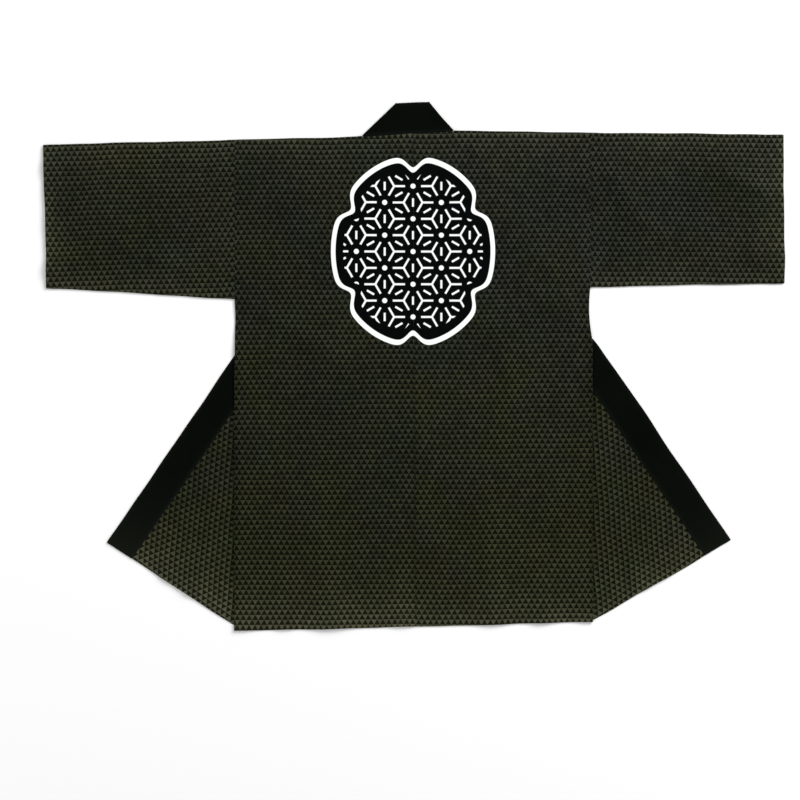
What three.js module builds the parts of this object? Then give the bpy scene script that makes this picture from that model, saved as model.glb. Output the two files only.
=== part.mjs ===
// A short unlined work jacket laid flat on a floor, back up, with both fronts folded out from under it.
// Millimetres. +X runs to the viewer's right, +Y towards the neck, +Z up, and the floor is at z = 0.

import * as THREE from "three";

// Walls, and the room left between pieces
const clothWall = 1.0;
const collarWall = 2.0;
const layerGap = 0.4;
const seamGap = 0.3;

// The collar strip's finished width
const collarWidth = 52.5;

// Length over which a layer comes down beside what lies under it
const flapRamp = 30;
const bandStepRamp = 15;
const foldRamp = 28;
const seamRamp = 40;
const neckRamp = 70;
const collarStepRamp = 14;

// How far past a fold or an edge a layer above stays at its full height
const foldClearance = 3;
const edgeClearance = 1;

// Room that a mitre's rolled edge takes at the collar's seam
const mitreRoll = 3.1;

// Cells of the cloth's surface
const panelCell = 75;
const collarCell = 90;
const snap = 1.2;
const foldSteps = 6;

// Where the corners rest, seen from above. neckTop and neckBase are the ends of the collar's mitre at the neck. The
// front is folded out along a line from foldTop, on the collar's free edge, to the hem, and flapTip is the front's
// lower free corner after that.
const corners = {
  left: {
    neckTop: [-30, 449.8],
    neckBase: [-88.5, 393.8],
    foldTop: [-30.5, 430],
    shoulder: [-306.5, 387.4],
    armpit: [-306.5, 116.9],
    hem: [-295.5, -452.6],
    cuffTop: [-634.3, 379.1],
    cuffBottom: [-628.6, 136.4],
    flapTip: [-525, -300.1],
  },
  right: {
    neckTop: [25.5, 451.4],
    neckBase: [69, 402.2],
    foldTop: [27, 451.2],
    shoulder: [302.3, 400],
    armpit: [302.3, 137.9],
    hem: [305.5, -435.8],
    cuffTop: [632.4, 396.7],
    cuffBottom: [634.3, 144.4],
    flapTip: [542.4, -295.1],
  },
};
const centreHem = new THREE.Vector2(7, -444.1);

// The front's fold meets the hem this far in from the side seam
const foldInset = 4;

// Colours of the cloth and the collar
const clothColour = 0x24251c;
const collarColour = 0x0a0c09;

const vector = ([x, y]) => new THREE.Vector2(x, y);
const between = (a, b, share) => new THREE.Vector2().lerpVectors(a, b, share);
const heading = (a, b) => b.clone().sub(a).normalize();
const quarterTurn = (v) => new THREE.Vector2(-v.y, v.x);

// A line in the plan. at() is a point's distance from it, positive on the side that `towards` lies on.
function makeLine(start, direction, towards) {
  const normal = quarterTurn(direction);
  if (towards.clone().sub(start).dot(normal) < 0) normal.negate();
  return { start, direction, normal, at: (p) => p.clone().sub(start).dot(normal) };
}

const shifted = (line, distance) => ({
  ...line,
  start: line.start.clone().addScaledVector(line.normal, distance),
  at: (p) => line.at(p) - distance,
});

function mirrored(p, line) {
  return p.clone().addScaledVector(line.normal, -2 * line.at(p));
}

function meet(line, other) {
  const along = other.start.clone().sub(line.start).dot(other.normal) / line.direction.dot(other.normal);
  return line.start.clone().addScaledVector(line.direction, along);
}

// 1 up to `start`, then an even S down to 0 at `start + length`
function fallOff(distance, start, length) {
  return 1 - THREE.MathUtils.smoothstep(distance, start, start + length);
}

// One side of the laid garment: its named points, and the lines that its layers follow
function makeSide(name) {
  const points = Object.fromEntries(Object.entries(corners[name]).map(([key, xy]) => [key, vector(xy)]));
  const { neckBase, foldTop, hem, flapTip } = points;
  const foldEnd = hem.clone().addScaledVector(heading(hem, centreHem), foldInset);
  const fold = makeLine(foldTop, heading(foldTop, foldEnd), centreHem);
  const freeHem = mirrored(flapTip, fold);
  const freeEdge = makeLine(foldTop, heading(foldTop, freeHem), hem);
  const flapEdge = makeLine(foldTop, heading(foldTop, flapTip), fold.start.clone().add(fold.normal));
  const hemLine = makeLine(freeHem, heading(freeHem, foldEnd), foldTop);
  const seamTurn = meet(fold, shifted(freeEdge, collarWidth));
  const neckSeam = makeLine(neckBase, heading(neckBase, seamTurn), foldTop);
  return { name, ...points, foldEnd, fold, freeHem, freeEdge, flapEdge, hemLine, seamTurn, neckSeam };
}

const sides = { left: makeSide("left"), right: makeSide("right") };
const neckLine = makeLine(
  sides.left.neckBase,
  heading(sides.left.neckBase, sides.right.neckBase),
  centreHem,
);
const centreNeck = between(sides.left.neckBase, sides.right.neckBase, 0.535);
const centreLine = makeLine(centreNeck, heading(centreNeck, centreHem), sides.left.hem);

// Heights of the layers' undersides. The folded-out flaps lie on the floor.
const clothStep = clothWall + layerGap;
const collarStep = collarWall + layerGap;

// The part of the front that was not folded out lies over the flap and over the flap's collar band
function frontHeight(side, p) {
  const inFlap = side.flapEdge.at(p);
  const overFlap = fallOff(-inFlap, edgeClearance, flapRamp);
  const overBand = fallOff(inFlap - collarWidth, edgeClearance, bandStepRamp);
  const onFlap = overFlap * (clothStep + (collarStep - clothStep) * overBand);
  const besideNeck = collarStep * fallOff(-side.neckSeam.at(p), edgeClearance, seamRamp);
  const aboveTurn = fallOff(side.seamTurn.y - p.y, 0, seamRamp);
  return Math.max(onFlap, besideNeck * aboveTurn);
}

// The back lies over the fronts and comes down to the floor between their two folds
function backHeightOn(side, p) {
  const collarUnder = fallOff(-side.neckSeam.at(p), edgeClearance, collarStepRamp);
  const aboveTurn = fallOff(side.seamTurn.y - p.y, 0, seamRamp);
  const stack = frontHeight(side, p) + clothStep + (collarStep - clothStep) * collarUnder * aboveTurn;
  return stack * fallOff(side.fold.at(p), foldClearance, foldRamp);
}

function backHeight(p) {
  const underNeck = 2 * collarStep * fallOff(neckLine.at(p), edgeClearance, neckRamp);
  const betweenFolds = sides.left.fold.at(p) > 0 && sides.right.fold.at(p) > 0;
  return Math.max(
    backHeightOn(sides.left, p),
    backHeightOn(sides.right, p),
    betweenFolds ? underNeck : 0,
  );
}

// Convex cells, split by lines that run right across them. A corner within `slack` of a line counts as on it, and
// a crossing is worked out from the edge's ends in a fixed order, so that neighbouring cells keep shared corners.
function crossing(a, b, line) {
  const [first, last] = a.x < b.x || (a.x === b.x && a.y < b.y) ? [a, b] : [b, a];
  const from = line.at(first);
  return between(first, last, from / (from - line.at(last)));
}

function splitCell(cell, line, slack) {
  const away = cell.map((p) => (Math.abs(line.at(p)) < slack ? 0 : line.at(p)));
  if (away.every((d) => d >= 0) || away.every((d) => d <= 0)) return [cell];
  const halves = [[], []];
  cell.forEach((p, i) => {
    const next = (i + 1) % cell.length;
    if (away[i] >= 0) halves[0].push(p);
    if (away[i] <= 0) halves[1].push(p);
    if (away[i] * away[next] < 0) {
      const cut = crossing(p, cell[next], line);
      halves.forEach((half) => half.push(cut));
    }
  });
  return halves;
}

const splitCells = (cells, lines, slack) =>
  lines.reduce((kept, line) => kept.flatMap((cell) => splitCell(cell, line, slack)), cells);

// A sheet of cloth as the surface through the middle of its wall: layers that lie flat, joined by folds
class Sheet {
  constructor(wall) {
    this.wall = wall;
    this.points = [];
    this.normals = [];
    this.faces = [];
    this.layers = {};
  }

  addPoint(position, normal) {
    this.points.push(position);
    this.normals.push(normal);
    return this.points.length - 1;
  }

  // A triangle, turned to face the way its corners' normals do
  addFace(a, b, c) {
    const [p, q, r] = [a, b, c].map((i) => this.points[i]);
    const facing = q.clone().sub(p).cross(r.clone().sub(p));
    const out = [a, b, c].reduce((sum, i) => sum.add(this.normals[i]), new THREE.Vector3());
    this.faces.push(facing.dot(out) > 0 ? [a, b, c] : [a, c, b]);
  }

  // height gives the layer's underside, up is 1 where the cloth's outside looks up, place moves a flat point
  addLayer(name, cells, height, up, place = (p) => p) {
    const layer = new Map();
    const cornerOf = (p) => {
      const key = `${p.x.toFixed(4)} ${p.y.toFixed(4)}`;
      if (!layer.has(key)) {
        const at = place(p);
        const middle = new THREE.Vector3(at.x, at.y, height(p) + this.wall / 2);
        layer.set(key, { flat: p, index: this.addPoint(middle, new THREE.Vector3(0, 0, up)) });
      }
      return layer.get(key).index;
    };
    for (const cell of cells) this.addCell(cell.map(cornerOf), cell.map(place), up);
    this.layers[name] = layer;
  }

  // A fan of triangles from the corner that keeps the thinnest of them widest
  addCell(ring, flat, up) {
    const turned = THREE.ShapeUtils.area(flat) * up < 0;
    const order = ring.map((_, i) => (turned ? ring.length - 1 - i : i));
    const fans = order.map((_, start) => {
      const from = [...order.slice(start), ...order.slice(0, start)];
      const fan = from.slice(2).map((_, i) => [from[0], from[i + 1], from[i + 2]]);
      const areas = fan.map((corners) => Math.abs(THREE.ShapeUtils.area(corners.map((i) => flat[i]))));
      return { fan, thinnest: Math.min(...areas) };
    });
    const best = fans.reduce((a, b) => (b.thinnest > a.thinnest ? b : a));
    this.faces.push(...best.fan.map((corners) => corners.map((i) => ring[i])));
  }

  // Rolls the cloth from one layer to another along the edge from start to end. `bulge` points out of the fold.
  addFold(upper, lower, start, end, bulge) {
    const direction = heading(start, end);
    const edge = makeLine(start, direction, start.clone().add(quarterTurn(direction)));
    const onEdge = [...this.layers[upper].entries()]
      .filter(([, { flat }]) => Math.abs(edge.at(flat)) < 1e-3)
      .map(([key, { flat, index }]) => ({ key, index, along: flat.clone().sub(start).dot(direction) }))
      .filter(({ along }) => along > -1e-3 && along < start.distanceTo(end) + 1e-3)
      .sort((a, b) => a.along - b.along);
    const rows = onEdge.map(({ key, index }) => this.addArc(index, this.layers[lower].get(key).index, bulge));
    for (let i = 1; i < rows.length; i++) {
      for (let k = 1; k < rows[i].length; k++) {
        this.addFace(rows[i - 1][k - 1], rows[i - 1][k], rows[i][k]);
        this.addFace(rows[i - 1][k - 1], rows[i][k], rows[i][k - 1]);
      }
    }
  }

  addArc(upper, lower, bulge) {
    const top = this.points[upper];
    const radius = (top.z - this.points[lower].z) / 2;
    const side = this.normals[upper].z;
    const arc = [upper];
    for (let k = 1; k < foldSteps; k++) {
      const turn = (Math.PI * k) / foldSteps;
      const out = new THREE.Vector3(bulge.x * Math.sin(turn), bulge.y * Math.sin(turn), Math.cos(turn));
      const position = new THREE.Vector3(top.x, top.y, top.z - radius).addScaledVector(out, radius);
      arc.push(this.addPoint(position, out.clone().multiplyScalar(side)));
    }
    return [...arc, lower];
  }

  // The closed wall: the surface moved out and in by half the wall, and a rim round its open edges
  makeSolid() {
    const count = this.points.length;
    const moved = (share) =>
      this.points.map((p, i) => p.clone().addScaledVector(this.normals[i], share * this.wall));
    const triangles = this.faces.flatMap(([a, b, c]) => [
      [a, b, c],
      [a + count, c + count, b + count],
    ]);
    const edges = new Set(this.faces.flatMap(([a, b, c]) => [`${a} ${b}`, `${b} ${c}`, `${c} ${a}`]));
    for (const edge of edges) {
      const [a, b] = edge.split(" ").map(Number);
      if (edges.has(`${b} ${a}`)) continue;
      triangles.push([b, a, a + count], [b, a + count, b + count]);
    }
    const geometry = new THREE.BufferGeometry();
    const position = [...moved(0.5), ...moved(-0.5)].flatMap((p) => p.toArray());
    geometry.setAttribute("position", new THREE.Float32BufferAttribute(position, 3));
    geometry.setIndex(triangles.flat());
    geometry.computeVertexNormals();
    return geometry;
  }
}

// Lines across a panel, evenly spaced from top to bottom
function rungs(top, bottom, spacing) {
  const count = Math.ceil((top - bottom) / spacing);
  return Array.from({ length: count - 1 }, (_, i) => {
    const start = new THREE.Vector2(0, top - ((i + 1) * (top - bottom)) / count);
    return makeLine(start, new THREE.Vector2(1, 0), centreHem);
  });
}

// The lines where a side's layers bend, shared by its back and its front so that neither cuts into the other
function bendLines(side) {
  const steps = (line, start, length, shares) => shares.map((share) => shifted(line, start + share * length));
  const thirds = [0, 1 / 3, 2 / 3, 1];
  return [
    ...steps(side.flapEdge, -edgeClearance - flapRamp, flapRamp, thirds),
    ...steps(side.flapEdge, collarWidth + edgeClearance, bandStepRamp, [0, 0.5, 1]),
    ...steps(side.fold, foldClearance, foldRamp, thirds),
    ...steps(side.neckSeam, -edgeClearance - seamRamp, seamRamp, thirds),
    ...steps(side.neckSeam, -edgeClearance - collarStepRamp, collarStepRamp, [0, 0.5]),
    ...steps(neckLine, edgeClearance, neckRamp, thirds),
    ...rungs(side.shoulder.y, side.hem.y, panelCell),
  ];
}

// Half of the body: the back, the shoulder fold, the front, and the front's corner folded out under it
function makeBody(side) {
  const sheet = new Sheet(clothWall);
  const centreEdge = shifted(centreLine, Math.sign(centreLine.at(side.hem)) * (seamGap / 2));
  const neckEdge = shifted(neckLine, seamGap / 2);
  const bottomEdge = makeLine(centreHem, heading(centreHem, side.hem), centreNeck);
  const sewnEdge = shifted(side.freeEdge, collarWidth + seamGap / 2);
  const seamTurn = meet(side.fold, sewnEdge);
  const neckPoint = side.neckBase.clone().addScaledVector(neckLine.normal, seamGap / 2);
  neckPoint.x += Math.sign(side.hem.x) * (seamGap / 2);

  const backOutline = [
    meet(bottomEdge, centreEdge),
    meet(neckEdge, centreEdge),
    neckPoint,
    side.shoulder,
    side.armpit,
    side.hem,
  ];
  const frontOutline = [neckPoint, side.shoulder, side.armpit, side.hem, side.foldEnd, seamTurn];
  const flapOutline = [seamTurn, meet(sewnEdge, side.hemLine), side.foldEnd];
  const lines = bendLines(side);
  const split = (outline) => splitCells([outline], lines, snap);
  const backCells = splitCells(split(backOutline), [side.fold], snap);

  sheet.addLayer("back", backCells, backHeight, 1);
  sheet.addLayer("front", split(frontOutline), (p) => frontHeight(side, p), -1);
  sheet.addLayer("flap", split(flapOutline), () => 0, 1, (p) => mirrored(p, side.fold));
  sheet.addFold("back", "front", neckPoint, side.shoulder, new THREE.Vector2(0, 1));
  sheet.addFold("front", "flap", seamTurn, side.foldEnd, side.fold.normal);
  return sheet.makeSolid();
}

// A sleeve is a tube laid flat, folded along its top and along its bottom seam, open at the cuff and the armhole
function makeSleeve(side) {
  const sheet = new Sheet(clothWall);
  const outward = new THREE.Vector2(Math.sign(side.hem.x), 0);
  const root = (p) => p.clone().addScaledVector(outward, seamGap);
  const outline = [root(side.shoulder), side.cuffTop, side.cuffBottom, root(side.armpit)];
  const across = [1, 2, 3, 4].map((i) => {
    const top = between(outline[0], outline[1], i / 5);
    return makeLine(top, heading(top, between(outline[3], outline[2], i / 5)), side.cuffTop);
  });
  const along = [1, 2, 3].map((i) => {
    const start = between(outline[0], outline[3], i / 4);
    return makeLine(start, heading(start, between(outline[1], outline[2], i / 4)), side.hem);
  });
  const cells = splitCells([outline], [...across, ...along], snap);
  sheet.addLayer("upper", cells, () => clothStep, 1);
  sheet.addLayer("lower", cells, () => 0, -1);
  sheet.addFold("upper", "lower", outline[0], outline[1], new THREE.Vector2(0, 1));
  sheet.addFold("upper", "lower", outline[3], outline[2], new THREE.Vector2(0, -1));
  return sheet.makeSolid();
}

// The collar: flat across the back of the neck, mitred down behind each front edge, then folded out with the front
function makeCollar() {
  const sheet = new Sheet(collarWall);
  const { left, right } = sides;
  const sewn = (side) => {
    const edge = shifted(side.freeEdge, collarWidth - seamGap / 2);
    const neckPoint = side.neckBase.clone().addScaledVector(neckLine.normal, -seamGap / 2);
    neckPoint.x -= Math.sign(side.hem.x) * mitreRoll;
    return { edge, neckPoint, seamTurn: meet(side.fold, edge) };
  };
  const neckOutline = [left.neckTop, sewn(left).neckPoint, sewn(right).neckPoint, right.neckTop];
  sheet.addLayer("neck", [neckOutline], () => 2 * collarStep, 1);

  for (const side of [left, right]) {
    const { edge, neckPoint, seamTurn } = sewn(side);
    const { neckTop, foldTop } = side;
    const standing = `${side.name} standing`;
    const band = `${side.name} band`;
    const bandOutline = [foldTop, seamTurn, meet(edge, side.hemLine), side.freeHem];
    const cells = splitCells([bandOutline], rungs(seamTurn.y, side.freeHem.y, collarCell), snap);
    const mitre = makeLine(neckTop, heading(neckTop, neckPoint), centreHem);
    sheet.addLayer(standing, [[neckTop, neckPoint, seamTurn, foldTop]], () => collarStep, -1);
    sheet.addLayer(band, cells, () => 0, 1, (p) => mirrored(p, side.fold));
    sheet.addFold("neck", standing, neckTop, neckPoint, mitre.normal.clone().negate());
    sheet.addFold(standing, band, foldTop, seamTurn, side.fold.normal);
  }
  return sheet.makeSolid();
}

const makeMaterial = (color, roughness) =>
  new THREE.MeshStandardMaterial({ color, roughness, metalness: 0, side: THREE.FrontSide });

const garment = new THREE.Group();
function addPiece(name, geometry, color, roughness) {
  const mesh = new THREE.Mesh(geometry, makeMaterial(color, roughness));
  mesh.name = name;
  garment.add(mesh);
}

for (const side of Object.values(sides)) {
  addPiece(`body_${side.name}`, makeBody(side), clothColour, 0.92);
  addPiece(`sleeve_${side.name}`, makeSleeve(side), clothColour, 0.92);
}
addPiece("collar", makeCollar(), collarColour, 0.85);

export default garment;
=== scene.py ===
import math

import bmesh
import bpy
import numpy as np
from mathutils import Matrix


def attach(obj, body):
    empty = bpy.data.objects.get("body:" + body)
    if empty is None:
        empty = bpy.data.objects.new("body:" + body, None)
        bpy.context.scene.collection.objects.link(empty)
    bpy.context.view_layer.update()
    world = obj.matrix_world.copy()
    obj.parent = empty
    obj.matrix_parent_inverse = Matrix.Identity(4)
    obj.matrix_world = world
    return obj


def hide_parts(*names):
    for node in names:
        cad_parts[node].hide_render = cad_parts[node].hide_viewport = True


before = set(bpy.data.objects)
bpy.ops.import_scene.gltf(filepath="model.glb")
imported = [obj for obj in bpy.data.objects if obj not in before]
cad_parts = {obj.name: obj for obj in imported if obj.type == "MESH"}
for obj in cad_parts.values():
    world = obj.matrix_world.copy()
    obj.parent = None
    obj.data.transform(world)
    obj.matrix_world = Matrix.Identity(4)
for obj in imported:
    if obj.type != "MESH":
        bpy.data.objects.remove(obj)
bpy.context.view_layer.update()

# A short printed cotton work jacket, laid back up with both fronts folded out from under it.
# Metres. +X is the viewer's right, +Y runs to the neck, the floor is z = 0.

print("camera")
view = {"centreX": -0.0238, "centreY": -0.0567, "width": 1.3688, "lens": 100.0, "sensor": 36.0,
        "clothHeight": 0.004, "clipEnd": 50.0}


def addObject(name, data):
    added = bpy.data.objects.new(name, data)
    bpy.context.scene.collection.objects.link(added)
    return added


def makeCamera():
    data = bpy.data.cameras.new("cameraAbove")
    data.lens = view["lens"]
    data.sensor_width = view["sensor"]
    data.clip_end = view["clipEnd"]
    camera = addObject("cameraAbove", data)
    height = view["clothHeight"] + view["width"] * view["lens"] / view["sensor"]
    camera.location = (view["centreX"], view["centreY"], height)
    bpy.context.scene.camera = camera


makeCamera()

# Lines in the plan: every point and line below is seen from above


def makeLine(start, end, towards):
    start = np.array(start, float)
    direction = np.array(end, float) - start
    direction /= np.hypot(*direction)
    normal = np.array([-direction[1], direction[0]])
    if (np.array(towards, float) - start) @ normal < 0:
        normal = -normal
    return {"start": start, "direction": direction, "normal": normal}


def away(line, p):
    return (p - line["start"]) @ line["normal"]


def shifted(line, distance):
    return {**line, "start": line["start"] + distance * line["normal"]}


def mirrored(p, line):
    return p - 2 * np.multiply.outer(away(line, p), line["normal"])


def meet(line, other):
    along = (other["start"] - line["start"]) @ other["normal"] / (line["direction"] @ other["normal"])
    return line["start"] + along * line["direction"]


def fallOff(distance, start, length):  # 1 up to start, then an even S down to 0
    t = np.clip((distance - start) / length, 0, 1)
    return 1 - t * t * (3 - 2 * t)


# How the garment lies. The corners are the frame's own.
garment = {
    "left": {
        "neckTop": (-0.0300, 0.4498), "neckBase": (-0.0885, 0.3938), "foldTop": (-0.0305, 0.4300),
        "shoulder": (-0.3065, 0.3874), "armpit": (-0.3065, 0.1169), "hem": (-0.3068, -0.4516),
        "cuffTop": (-0.6343, 0.3791), "cuffBottom": (-0.6286, 0.1364), "flapTip": (-0.5250, -0.3001),
        "foldEnd": (-0.2960, -0.4498),
    },
    "right": {
        "neckTop": (0.0255, 0.4514), "neckBase": (0.0690, 0.4022), "foldTop": (0.0270, 0.4512),
        "shoulder": (0.3023, 0.4000), "armpit": (0.3023, 0.1379), "hem": (0.3055, -0.4358),
        "cuffTop": (0.6324, 0.3967), "cuffBottom": (0.6343, 0.1444), "flapTip": (0.5424, -0.2951),
        "foldEnd": (0.3015, -0.4358),
    },
    "centreHem": (0.0020, -0.4442),
    "neckShare": 0.553,  # where the centre seam meets the neck
    "collarWidth": 0.0525,
    "clothStep": 0.0014, "collarStep": 0.0024,  # one layer's height over the next
    "flapRamp": 0.030, "bandStepRamp": 0.015, "foldRamp": 0.028,
    "seamRamp": 0.040, "neckRamp": 0.070, "collarStepRamp": 0.014,
    "foldClearance": 0.003, "edgeClearance": 0.001,
    "cell": 0.005,
}
centreHem = np.array(garment["centreHem"])
collarWidth = garment["collarWidth"]


def makeSide(name):
    side = {key: np.array(value) for key, value in garment[name].items()}
    side["name"] = name
    side["outward"] = np.array([-1.0 if name == "left" else 1.0, 0])
    foldTop = side["foldTop"]
    fold = makeLine(foldTop, side["foldEnd"], centreHem)
    side["fold"] = fold
    freeHem = mirrored(side["flapTip"], fold)
    side["freeEdge"] = makeLine(foldTop, freeHem, side["hem"])
    side["flapEdge"] = makeLine(foldTop, side["flapTip"], foldTop + fold["normal"])
    side["frontHem"] = makeLine(freeHem, side["foldEnd"], foldTop)
    side["flapHem"] = makeLine(side["flapTip"], side["foldEnd"], foldTop)
    side["backHem"] = makeLine(centreHem, side["hem"], foldTop)
    side["seam"] = makeLine(side["armpit"], side["hem"], side["armpit"] + side["outward"])
    side["sewnEdge"] = shifted(side["freeEdge"], collarWidth)
    side["seamTurn"] = meet(fold, side["sewnEdge"])
    side["neckSeam"] = makeLine(side["neckBase"], side["seamTurn"], foldTop)
    return side


sides = {name: makeSide(name) for name in ("left", "right")}
neckLine = makeLine(sides["left"]["neckBase"], sides["right"]["neckBase"], centreHem)
share = garment["neckShare"]
centreNeck = (1 - share) * sides["left"]["neckBase"] + share * sides["right"]["neckBase"]

# Creases that lying and folding have left, uneven: soft ridges, tapered at both ends.
# Those that run past a hem or a cuff lift its edge.
# fromX, fromY, toX, toY, height, width, bend
creases = [
    (-0.315, 0.120, -0.090, -0.040, 0.0057, 0.016, 0.016),
    (-0.300, 0.050, -0.185, -0.075, 0.0030, 0.012, -0.008),
    (-0.300, -0.020, -0.235, -0.150, 0.0024, 0.013, 0.006),
    (0.308, 0.142, 0.110, 0.015, 0.0050, 0.015, -0.014),
    (0.298, 0.060, 0.200, -0.095, 0.0036, 0.017, 0.010),
    (0.255, 0.150, 0.175, 0.075, 0.0020, 0.010, -0.004),
    (-0.096, 0.392, -0.240, 0.270, 0.0034, 0.014, 0.010),
    (0.078, 0.398, 0.205, 0.285, 0.0036, 0.013, -0.009),
    (0.010, 0.380, 0.030, 0.300, 0.0018, 0.018, 0.003),
    (0.080, -0.090, 0.140, -0.560, 0.0047, 0.025, 0.016),
    (-0.170, -0.150, -0.105, -0.590, 0.0055, 0.029, -0.018),
    (-0.045, -0.270, -0.018, -0.540, 0.0032, 0.017, 0.006),
    (0.212, -0.270, 0.238, -0.560, 0.0042, 0.020, -0.008),
    (-0.235, -0.290, -0.222, -0.520, 0.0028, 0.014, 0.005),
    (-0.230, -0.055, 0.015, -0.120, 0.0024, 0.021, 0.018),
    (0.040, -0.035, 0.175, -0.060, 0.0019, 0.018, -0.010),
    (-0.322, 0.378, -0.450, 0.175, 0.0065, 0.019, 0.016),
    (-0.338, 0.300, -0.400, 0.200, 0.0030, 0.012, 0.006),
    (-0.345, 0.140, -0.520, 0.205, 0.0046, 0.016, -0.012),
    (-0.480, 0.362, -0.640, 0.235, 0.0040, 0.017, 0.014),
    (-0.540, 0.205, -0.700, 0.150, 0.0042, 0.014, 0.006),
    (-0.560, 0.330, -0.690, 0.345, 0.0028, 0.012, -0.004),
    (0.318, 0.388, 0.430, 0.205, 0.0059, 0.018, -0.014),
    (0.338, 0.155, 0.520, 0.250, 0.0049, 0.017, 0.014),
    (0.470, 0.372, 0.680, 0.275, 0.0040, 0.015, -0.010),
    (0.530, 0.195, 0.700, 0.172, 0.0037, 0.014, 0.007),
    (0.405, 0.345, 0.455, 0.290, 0.0021, 0.010, 0.003),
    (-0.322, -0.190, -0.420, -0.440, 0.0042, 0.018, 0.012),
    (0.328, -0.200, 0.430, -0.430, 0.0040, 0.017, -0.010),
    (-0.455, -0.225, -0.415, -0.440, 0.0029, 0.013, 0.005),
    (0.455, -0.250, 0.420, -0.420, 0.0025, 0.012, -0.004),
    (-0.352, -0.100, -0.318, -0.190, 0.0020, 0.011, -0.004),
]
# Soft rises of the cloth between its creases: x, y, height, reachX, reachY
swells = [
    (-0.160, 0.240, 0.0024, 0.090, 0.075), (0.175, 0.220, 0.0022, 0.085, 0.080),
    (0.020, -0.240, 0.0020, 0.120, 0.060), (-0.200, -0.330, 0.0018, 0.060, 0.070),
    (0.190, -0.170, 0.0024, 0.070, 0.090), (-0.530, 0.280, 0.0026, 0.050, 0.060),
    (0.560, 0.240, 0.0024, 0.045, 0.070), (-0.420, -0.270, 0.0016, 0.045, 0.040),
    (0.430, -0.300, 0.0016, 0.045, 0.035), (-0.250, -0.020, 0.0018, 0.045, 0.080),
]
# Slight unevenness all over: height, and the length of its waves across and down
unevenness = [(0.00022, 0.071, 0.058), (0.00016, 0.037, 0.043)]
form = {
    "taper": 0.8,  # how fast a crease rises from its ends
    "leanX": 3.0, "leanY": 2.0,  # how far the small waves lean
}
# How much of a crease each layer takes, from the lowest up
liftShare = {"flap": 0.35, "flapOutside": 1.0, "front": 0.55, "back": 1.0, "lower": 0.3, "upper": 1.0}
flapReach = {"from": 0.004, "over": 0.030}  # the flap's share grows past the side seam


def lift(p, shareOfIt):
    total = np.zeros(len(p))
    for fromX, fromY, toX, toY, height, width, bend in creases:
        span = np.array([toX - fromX, toY - fromY])
        length = np.hypot(*span)
        direction = span / length
        fromStart = p - np.array([fromX, fromY])
        arch = np.sin(math.pi * np.clip(fromStart @ direction / length, 0, 1))
        across = fromStart @ np.array([-direction[1], direction[0]]) - bend * arch
        total += height * np.exp(-((across / width) ** 2)) * arch ** form["taper"]
    for x, y, height, reachX, reachY in swells:
        total += height * np.exp(-(((p[:, 0] - x) / reachX) ** 2) - ((p[:, 1] - y) / reachY) ** 2)
    for height, lengthX, lengthY in unevenness:
        x, y = p[:, 0] / lengthX, p[:, 1] / lengthY
        waves = np.sin(2 * math.pi * x + form["leanX"] * y) * np.sin(2 * math.pi * y - form["leanY"] * x)
        total += height * (1 + waves)
    return shareOfIt * total


def flapLift(side, p):
    outside = 1 - fallOff(away(side["seam"], p), flapReach["from"], flapReach["over"])
    inner, outer = liftShare["flap"], liftShare["flapOutside"]
    return lift(p, 1.0) * (inner + (outer - inner) * outside)


# No edge of laid cloth is quite straight: the whole garment is shifted about by half a millimetre,
# and a little further where it was pulled
sways = [  # 0 moves points across and 1 up; amount, waves for each metre across and up, start
    (0, 0.0004, 0.0, 1 / 0.21, 1.3), (0, 0.0003, 1 / 0.31, 1 / 0.083, 0.4),
    (1, 0.0004, 1 / 0.24, 0.0, 2.1), (1, 0.0003, 1 / 0.097, -1 / 0.27, 5.0),
]
# x, y, moveX, moveY, reach
pulls = [
    (0.3770, -0.0570, 0.0028, 0.0019, 0.085), (0.3030, 0.0980, -0.0036, 0.0, 0.038),
    (-0.3065, 0.0800, 0.0020, 0.0, 0.045), (-0.3650, -0.0700, 0.0012, -0.0008, 0.070),
    (0.0500, 0.4280, -0.0024, 0.0, 0.040), (0.6400, 0.2700, -0.0012, 0.0, 0.110),
    (-0.6400, 0.2600, 0.0010, 0.0, 0.110), (0.3200, 0.0450, 0.0026, 0.0, 0.020),
    (0.4700, -0.3400, 0.0004, -0.0024, 0.060), (0.1100, 0.4050, 0.0, 0.0018, 0.070),
]


def wander(p):
    x, y = p[:, 0], p[:, 1]
    shift = np.zeros((len(p), 2))
    for axis, amount, perX, perY, start in sways:
        shift[:, axis] += amount * np.sin(2 * math.pi * (perX * x + perY * y) + start)
    for atX, atY, moveX, moveY, reach in pulls:
        near = np.exp(-((x - atX) ** 2 + (y - atY) ** 2) / reach**2)
        shift += np.multiply.outer(near, [moveX, moveY])
    return shift


def aboveTurn(side, p):
    return fallOff(side["seamTurn"][1] - p[:, 1], 0, garment["seamRamp"])


# Heights of the layers' undersides, lowest layer first
def frontHeight(side, p):
    g = garment
    inFlap = away(side["flapEdge"], p)
    overFlap = fallOff(-inFlap, g["edgeClearance"], g["flapRamp"])
    overBand = fallOff(inFlap - collarWidth, g["edgeClearance"], g["bandStepRamp"])
    onFlap = overFlap * (g["clothStep"] + (g["collarStep"] - g["clothStep"]) * overBand)
    besideNeck = g["collarStep"] * fallOff(-away(side["neckSeam"], p), g["edgeClearance"], g["seamRamp"])
    return np.maximum(onFlap, besideNeck * aboveTurn(side, p))


def backHeightOn(side, p):
    g = garment
    collarUnder = fallOff(-away(side["neckSeam"], p), g["edgeClearance"], g["collarStepRamp"])
    stack = frontHeight(side, p) + g["clothStep"]
    stack += (g["collarStep"] - g["clothStep"]) * collarUnder * aboveTurn(side, p)
    return stack * fallOff(away(side["fold"], p), g["foldClearance"], g["foldRamp"])


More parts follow.
